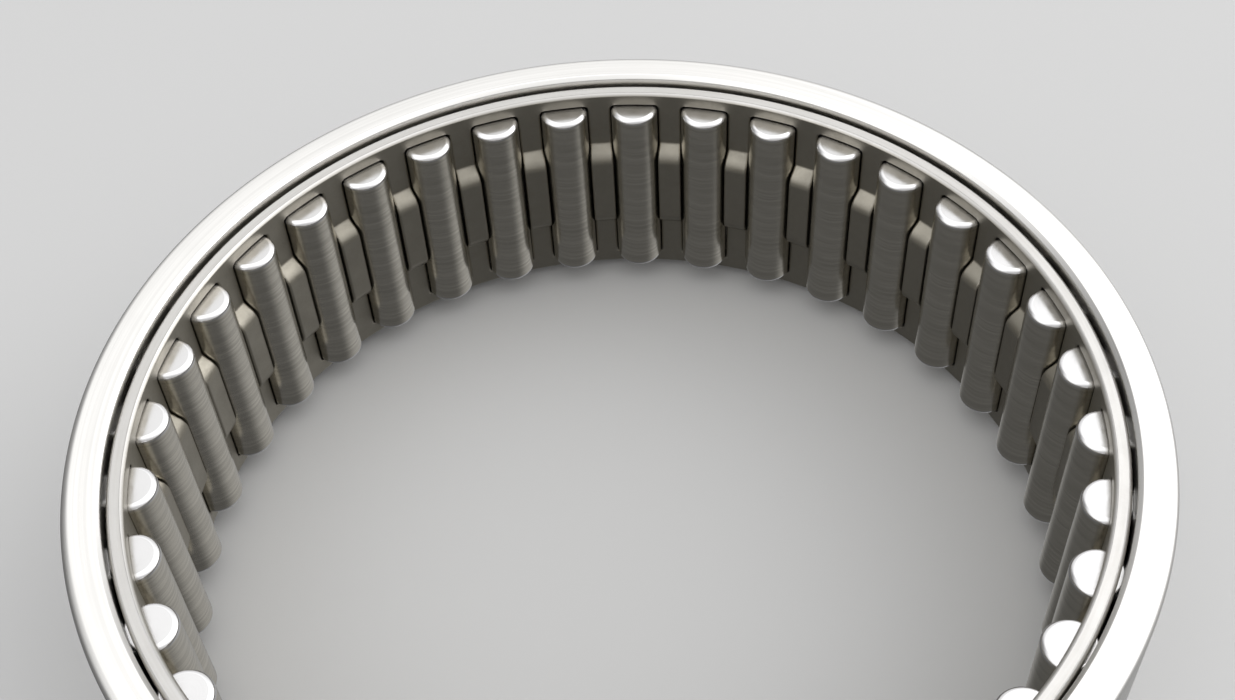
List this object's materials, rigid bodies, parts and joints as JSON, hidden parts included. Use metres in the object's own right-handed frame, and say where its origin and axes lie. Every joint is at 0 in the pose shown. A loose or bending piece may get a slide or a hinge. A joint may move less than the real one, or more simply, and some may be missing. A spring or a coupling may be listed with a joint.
{
  "type": "needle roller bearing",
  "caption": "Caged needle roller bearing with a machined, ribbed outer ring; the rollers run on the shaft and turn with the window cage.",
  "frame": {"origin": "centre of the bearing, on its axis at half its width", "axes": "+Z along the bearing's axis, +X through the middle of the first roller"},
  "size_m": [0.125, 0.125, 0.035],
  "materials": {
    "ring_steel": "fine ground, satin",
    "cage_steel": "dark oiled pressed steel, semi-gloss",
    "roller_steel": "fine ground bearing steel"
  },
  "bodies": {
    "outer_ring": {"outer_ring": "ring_steel"},
    "cage": {"cage": "cage_steel"},
    "needle_01": {"needle_01": "roller_steel"},
    "needle_02": {"needle_02": "roller_steel"},
    "needle_03": {"needle_03": "roller_steel"},
    "needle_04": {"needle_04": "roller_steel"},
    "needle_05": {"needle_05": "roller_steel"},
    "needle_06": {"needle_06": "roller_steel"},
    "needle_07": {"needle_07": "roller_steel"},
    "needle_08": {"needle_08": "roller_steel"},
    "needle_09": {"needle_09": "roller_steel"},
    "needle_10": {"needle_10": "roller_steel"},
    "needle_11": {"needle_11": "roller_steel"},
    "needle_12": {"needle_12": "roller_steel"},
    "needle_13": {"needle_13": "roller_steel"},
    "needle_14": {"needle_14": "roller_steel"},
    "needle_15": {"needle_15": "roller_steel"},
    "needle_16": {"needle_16": "roller_steel"},
    "needle_17": {"needle_17": "roller_steel"},
    "needle_18": {"needle_18": "roller_steel"},
    "needle_19": {"needle_19": "roller_steel"},
    "needle_20": {"needle_20": "roller_steel"},
    "needle_21": {"needle_21": "roller_steel"},
    "needle_22": {"needle_22": "roller_steel"},
    "needle_23": {"needle_23": "roller_steel"},
    "needle_24": {"needle_24": "roller_steel"},
    "needle_25": {"needle_25": "roller_steel"},
    "needle_26": {"needle_26": "roller_steel"},
    "needle_27": {"needle_27": "roller_steel"},
    "needle_28": {"needle_28": "roller_steel"},
    "needle_29": {"needle_29": "roller_steel"},
    "needle_30": {"needle_30": "roller_steel"},
    "needle_31": {"needle_31": "roller_steel"},
    "needle_32": {"needle_32": "roller_steel"},
    "needle_33": {"needle_33": "roller_steel"},
    "needle_34": {"needle_34": "roller_steel"},
    "needle_35": {"needle_35": "roller_steel"},
    "needle_36": {"needle_36": "roller_steel"}
  },
  "joints": [
    {"name": "cage_spin", "type": "hinge", "parent": "outer_ring", "child": "cage", "pos_m": [0, 0, 0], "axis": [0, 0, 1], "continuous": true},
    {"name": "needle_01_roll", "type": "hinge", "parent": "cage", "child": "needle_01", "pos_m": [0.05572, 0, 0], "axis": [0, 0, 1], "continuous": true},
    {"name": "needle_02_roll", "type": "hinge", "parent": "cage", "child": "needle_02", "pos_m": [0.05488, 0.00968, 0], "axis": [0, 0, 1], "continuous": true},
    {"name": "needle_03_roll", "type": "hinge", "parent": "cage", "child": "needle_03", "pos_m": [0.05236, 0.01906, 0], "axis": [0, 0, 1], "continuous": true},
    {"name": "needle_04_roll", "type": "hinge", "parent": "cage", "child": "needle_04", "pos_m": [0.04826, 0.02786, 0], "axis": [0, 0, 1], "continuous": true},
    {"name": "needle_05_roll", "type": "hinge", "parent": "cage", "child": "needle_05", "pos_m": [0.04269, 0.03582, 0], "axis": [0, 0, 1], "continuous": true},
    {"name": "needle_06_roll", "type": "hinge", "parent": "cage", "child": "needle_06", "pos_m": [0.03582, 0.04269, 0], "axis": [0, 0, 1], "continuous": true},
    {"name": "needle_07_roll", "type": "hinge", "parent": "cage", "child": "needle_07", "pos_m": [0.02786, 0.04826, 0], "axis": [0, 0, 1], "continuous": true},
    {"name": "needle_08_roll", "type": "hinge", "parent": "cage", "child": "needle_08", "pos_m": [0.01906, 0.05236, 0], "axis": [0, 0, 1], "continuous": true},
    {"name": "needle_09_roll", "type": "hinge", "parent": "cage", "child": "needle_09", "pos_m": [0.00968, 0.05488, 0], "axis": [0, 0, 1], "continuous": true},
    {"name": "needle_10_roll", "type": "hinge", "parent": "cage", "child": "needle_10", "pos_m": [0, 0.05572, 0], "axis": [0, 0, 1], "continuous": true},
    {"name": "needle_11_roll", "type": "hinge", "parent": "cage", "child": "needle_11", "pos_m": [-0.00968, 0.05488, 0], "axis": [0, 0, 1], "continuous": true},
    {"name": "needle_12_roll", "type": "hinge", "parent": "cage", "child": "needle_12", "pos_m": [-0.01906, 0.05236, 0], "axis": [0, 0, 1], "continuous": true},
    {"name": "needle_13_roll", "type": "hinge", "parent": "cage", "child": "needle_13", "pos_m": [-0.02786, 0.04826, 0], "axis": [0, 0, 1], "continuous": true},
    {"name": "needle_14_roll", "type": "hinge", "parent": "cage", "child": "needle_14", "pos_m": [-0.03582, 0.04269, 0], "axis": [0, 0, 1], "continuous": true},
    {"name": "needle_15_roll", "type": "hinge", "parent": "cage", "child": "needle_15", "pos_m": [-0.04269, 0.03582, 0], "axis": [0, 0, 1], "continuous": true},
    {"name": "needle_16_roll", "type": "hinge", "parent": "cage", "child": "needle_16", "pos_m": [-0.04826, 0.02786, 0], "axis": [0, 0, 1], "continuous": true},
    {"name": "needle_17_roll", "type": "hinge", "parent": "cage", "child": "needle_17", "pos_m": [-0.05236, 0.01906, 0], "axis": [0, 0, 1], "continuous": true},
    {"name": "needle_18_roll", "type": "hinge", "parent": "cage", "child": "needle_18", "pos_m": [-0.05488, 0.00968, 0], "axis": [0, 0, 1], "continuous": true},
    {"name": "needle_19_roll", "type": "hinge", "parent": "cage", "child": "needle_19", "pos_m": [-0.05572, 0, 0], "axis": [0, 0, 1], "continuous": true},
    {"name": "needle_20_roll", "type": "hinge", "parent": "cage", "child": "needle_20", "pos_m": [-0.05488, -0.00968, 0], "axis": [0, 0, 1], "continuous": true},
    {"name": "needle_21_roll", "type": "hinge", "parent": "cage", "child": "needle_21", "pos_m": [-0.05236, -0.01906, 0], "axis": [0, 0, 1], "continuous": true},
    {"name": "needle_22_roll", "type": "hinge", "parent": "cage", "child": "needle_22", "pos_m": [-0.04826, -0.02786, 0], "axis": [0, 0, 1], "continuous": true},
    {"name": "needle_23_roll", "type": "hinge", "parent": "cage", "child": "needle_23", "pos_m": [-0.04269, -0.03582, 0], "axis": [0, 0, 1], "continuous": true},
    {"name": "needle_24_roll", "type": "hinge", "parent": "cage", "child": "needle_24", "pos_m": [-0.03582, -0.04269, 0], "axis": [0, 0, 1], "continuous": true},
    {"name": "needle_25_roll", "type": "hinge", "parent": "cage", "child": "needle_25", "pos_m": [-0.02786, -0.04826, 0], "axis": [0, 0, 1], "continuous": true},
    {"name": "needle_26_roll", "type": "hinge", "parent": "cage", "child": "needle_26", "pos_m": [-0.01906, -0.05236, 0], "axis": [0, 0, 1], "continuous": true},
    {"name": "needle_27_roll", "type": "hinge", "parent": "cage", "child": "needle_27", "pos_m": [-0.00968, -0.05488, 0], "axis": [0, 0, 1], "continuous": true},
    {"name": "needle_28_roll", "type": "hinge", "parent": "cage", "child": "needle_28", "pos_m": [0, -0.05572, 0], "axis": [0, 0, 1], "continuous": true},
    {"name": "needle_29_roll", "type": "hinge", "parent": "cage", "child": "needle_29", "pos_m": [0.00968, -0.05488, 0], "axis": [0, 0, 1], "continuous": true},
    {"name": "needle_30_roll", "type": "hinge", "parent": "cage", "child": "needle_30", "pos_m": [0.01906, -0.05236, 0], "axis": [0, 0, 1], "continuous": true},
    {"name": "needle_31_roll", "type": "hinge", "parent": "cage", "child": "needle_31", "pos_m": [0.02786, -0.04826, 0], "axis": [0, 0, 1], "continuous": true},
    {"name": "needle_32_roll", "type": "hinge", "parent": "cage", "child": "needle_32", "pos_m": [0.03582, -0.04269, 0], "axis": [0, 0, 1], "continuous": true},
    {"name": "needle_33_roll", "type": "hinge", "parent": "cage", "child": "needle_33", "pos_m": [0.04269, -0.03582, 0], "axis": [0, 0, 1], "continuous": true},
    {"name": "needle_34_roll", "type": "hinge", "parent": "cage", "child": "needle_34", "pos_m": [0.04826, -0.02786, 0], "axis": [0, 0, 1], "continuous": true},
    {"name": "needle_35_roll", "type": "hinge", "parent": "cage", "child": "needle_35", "pos_m": [0.05236, -0.01906, 0], "axis": [0, 0, 1], "continuous": true},
    {"name": "needle_36_roll", "type": "hinge", "parent": "cage", "child": "needle_36", "pos_m": [0.05488, -0.00968, 0], "axis": [0, 0, 1], "continuous": true}
  ],
  "couplings": [
    {"joint": "needle_01_roll", "follows": "cage_spin", "ratio": -18.414},
    {"joint": "needle_02_roll", "follows": "cage_spin", "ratio": -18.414},
    {"joint": "needle_03_roll", "follows": "cage_spin", "ratio": -18.414},
    {"joint": "needle_04_roll", "follows": "cage_spin", "ratio": -18.414},
    {"joint": "needle_05_roll", "follows": "cage_spin", "ratio": -18.414},
    {"joint": "needle_06_roll", "follows": "cage_spin", "ratio": -18.414},
    {"joint": "needle_07_roll", "follows": "cage_spin", "ratio": -18.414},
    {"joint": "needle_08_roll", "follows": "cage_spin", "ratio": -18.414},
    {"joint": "needle_09_roll", "follows": "cage_spin", "ratio": -18.414},
    {"joint": "needle_10_roll", "follows": "cage_spin", "ratio": -18.414},
    {"joint": "needle_11_roll", "follows": "cage_spin", "ratio": -18.414},
    {"joint": "needle_12_roll", "follows": "cage_spin", "ratio": -18.414},
    {"joint": "needle_13_roll", "follows": "cage_spin", "ratio": -18.414},
    {"joint": "needle_14_roll", "follows": "cage_spin", "ratio": -18.414},
    {"joint": "needle_15_roll", "follows": "cage_spin", "ratio": -18.414},
    {"joint": "needle_16_roll", "follows": "cage_spin", "ratio": -18.414},
    {"joint": "needle_17_roll", "follows": "cage_spin", "ratio": -18.414},
    {"joint": "needle_18_roll", "follows": "cage_spin", "ratio": -18.414},
    {"joint": "needle_19_roll", "follows": "cage_spin", "ratio": -18.414},
    {"joint": "needle_20_roll", "follows": "cage_spin", "ratio": -18.414},
    {"joint": "needle_21_roll", "follows": "cage_spin", "ratio": -18.414},
    {"joint": "needle_22_roll", "follows": "cage_spin", "ratio": -18.414},
    {"joint": "needle_23_roll", "follows": "cage_spin", "ratio": -18.414},
    {"joint": "needle_24_roll", "follows": "cage_spin", "ratio": -18.414},
    {"joint": "needle_25_roll", "follows": "cage_spin", "ratio": -18.414},
    {"joint": "needle_26_roll", "follows": "cage_spin", "ratio": -18.414},
    {"joint": "needle_27_roll", "follows": "cage_spin", "ratio": -18.414},
    {"joint": "needle_28_roll", "follows": "cage_spin", "ratio": -18.414},
    {"joint": "needle_29_roll", "follows": "cage_spin", "ratio": -18.414},
    {"joint": "needle_30_roll", "follows": "cage_spin", "ratio": -18.414},
    {"joint": "needle_31_roll", "follows": "cage_spin", "ratio": -18.414},
    {"joint": "needle_32_roll", "follows": "cage_spin", "ratio": -18.414},
    {"joint": "needle_33_roll", "follows": "cage_spin", "ratio": -18.414},
    {"joint": "needle_34_roll", "follows": "cage_spin", "ratio": -18.414},
    {"joint": "needle_35_roll", "follows": "cage_spin", "ratio": -18.414},
    {"joint": "needle_36_roll", "follows": "cage_spin", "ratio": -18.414}
  ]
}
